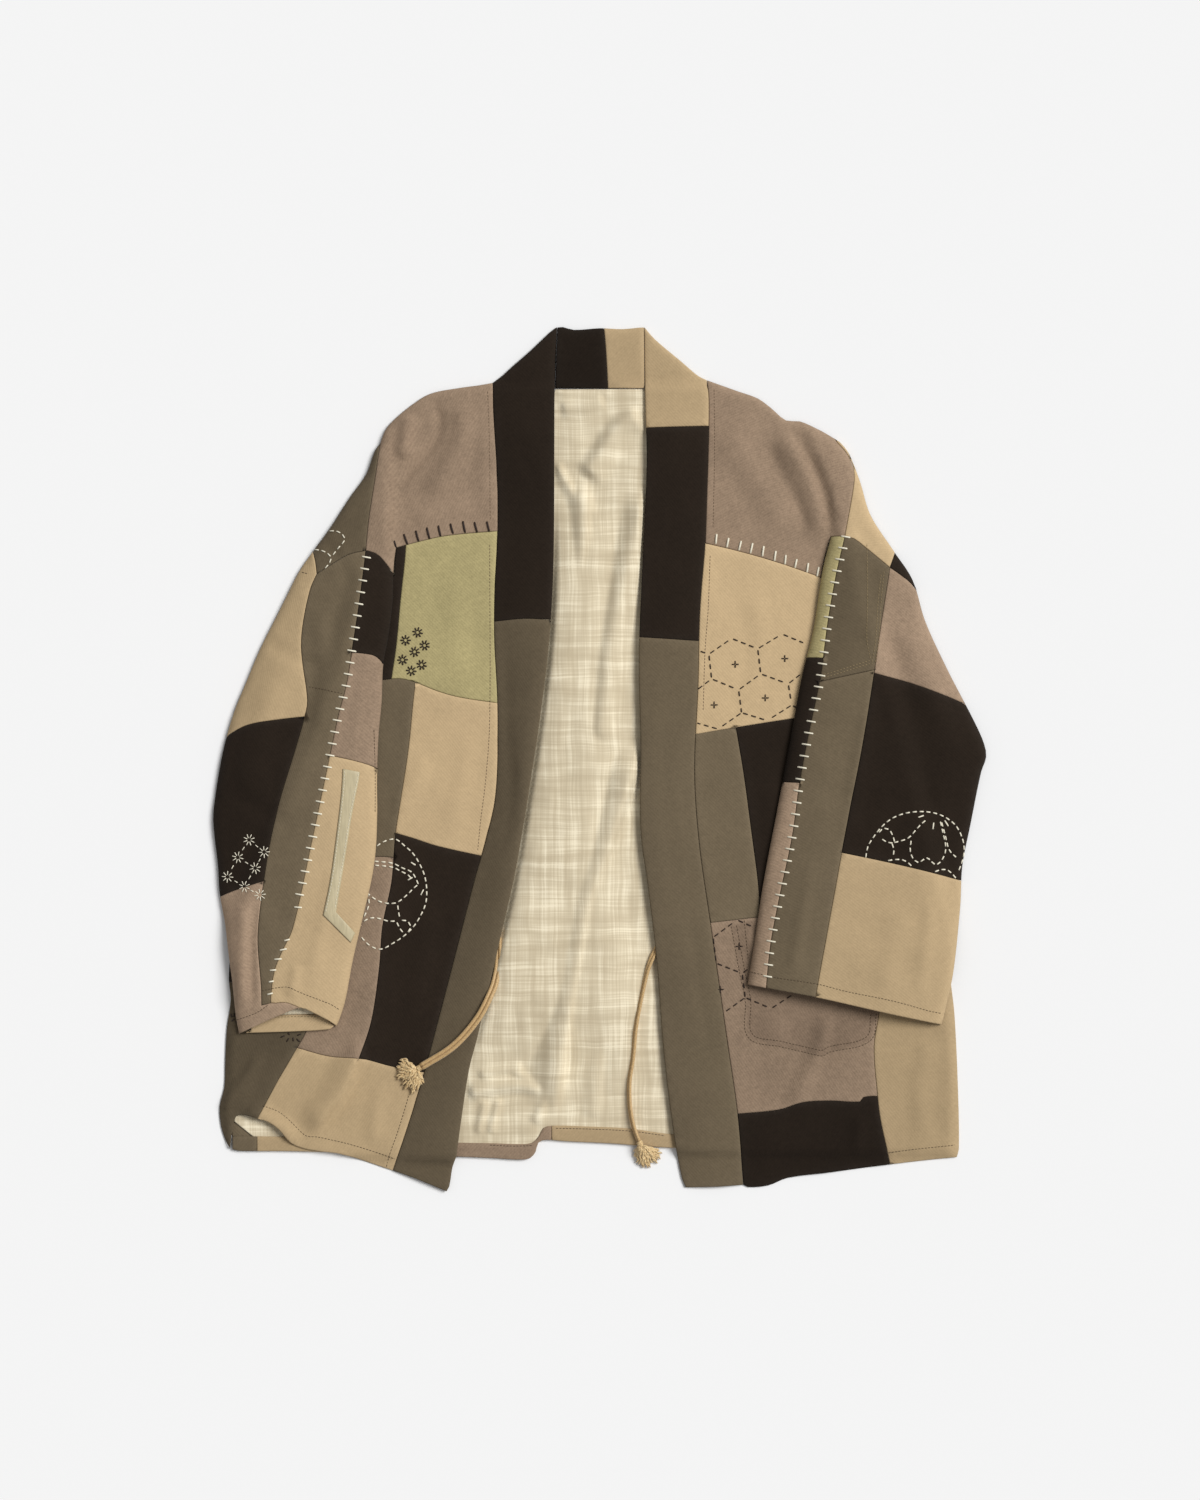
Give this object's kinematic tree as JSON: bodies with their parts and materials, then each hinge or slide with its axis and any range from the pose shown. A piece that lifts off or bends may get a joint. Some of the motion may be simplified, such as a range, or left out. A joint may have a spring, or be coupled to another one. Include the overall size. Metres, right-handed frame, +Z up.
{
  "type": "patchwork jacket",
  "caption": "Open-front patchwork jacket laid flat on its back, with folded-down sleeves, a straight neck band, a cream lining and tasselled cord ties.",
  "frame": {"origin": "on the floor under the middle of the jacket's box, on the flat underside of the back", "axes": "+Z up from the floor, +Y towards the neck, +X towards the sleeve on the right as seen from above"},
  "size_m": [0.7722, 0.8634, 0.0203],
  "materials": {
    "dark_twill": "brushed dark brown cotton twill",
    "olive_twill": "brushed olive brown cotton twill",
    "mauve_twill": "brushed grey mauve cotton twill",
    "beige_twill": "brushed tan beige cotton twill",
    "green_twill": "brushed pale yellow green cotton twill",
    "lining": "slubby plain-woven cotton, natural cream",
    "satin_tape": "pale satin tape, soft sheen",
    "cord": "twisted rayon cord and floss, golden tan, silky"
  },
  "bodies": {
    "root": {"back_beige_left": "beige_twill", "back_beige_right": "beige_twill", "back_hem_beige_left": "beige_twill", "back_hem_beige_right": "beige_twill", "back_hem_mauve": "mauve_twill", "back_hem_olive": "olive_twill", "back_lining": "lining", "back_mauve": "mauve_twill", "back_olive": "olive_twill", "left_band_dark": "dark_twill", "left_band_olive": "olive_twill", "left_front_beige": "beige_twill", "left_front_beige_hem": "beige_twill", "left_front_dark": "dark_twill", "left_front_dark_side": "dark_twill", "left_front_green": "green_twill", "left_front_mauve_shoulder": "mauve_twill", "left_front_mauve_strip": "mauve_twill", "left_front_olive_side": "olive_twill", "left_front_olive_strip": "olive_twill", "left_sleeve_beige": "beige_twill", "left_sleeve_cuff_facing": "beige_twill", "left_sleeve_cuff_lining": "lining", "left_sleeve_dark": "dark_twill", "left_sleeve_inner_beige": "beige_twill", "left_sleeve_inner_dark": "dark_twill", "left_sleeve_inner_mauve": "mauve_twill", "left_sleeve_mauve_cuff": "mauve_twill", "left_sleeve_olive_strip": "olive_twill", "left_sleeve_olive_top": "olive_twill", "left_sleeve_tape": "satin_tape", "left_sleeve_under": "beige_twill", "left_tassel": "cord", "left_tie": "cord", "neck_band_beige": "beige_twill", "neck_band_dark": "dark_twill", "right_band_beige": "beige_twill", "right_band_dark": "dark_twill", "right_band_olive": "olive_twill", "right_front_beige_side": "beige_twill", "right_front_dark": "dark_twill", "right_front_dark_hem": "dark_twill", "right_front_hexagon_beige": "beige_twill", "right_front_mauve_shoulder": "mauve_twill", "right_front_olive": "olive_twill", "right_front_pocket_mauve": "mauve_twill", "right_sleeve_beige_cuff": "beige_twill", "right_sleeve_beige_top": "beige_twill", "right_sleeve_dark": "dark_twill", "right_sleeve_dark_bit": "dark_twill", "right_sleeve_green": "green_twill", "right_sleeve_inner_dark": "dark_twill", "right_sleeve_inner_mauve": "mauve_twill", "right_sleeve_mauve": "mauve_twill", "right_sleeve_olive_lower": "olive_twill", "right_sleeve_olive_upper": "olive_twill", "right_sleeve_under": "beige_twill", "right_tassel": "cord", "right_tie": "cord"}
  },
  "joints": []
}
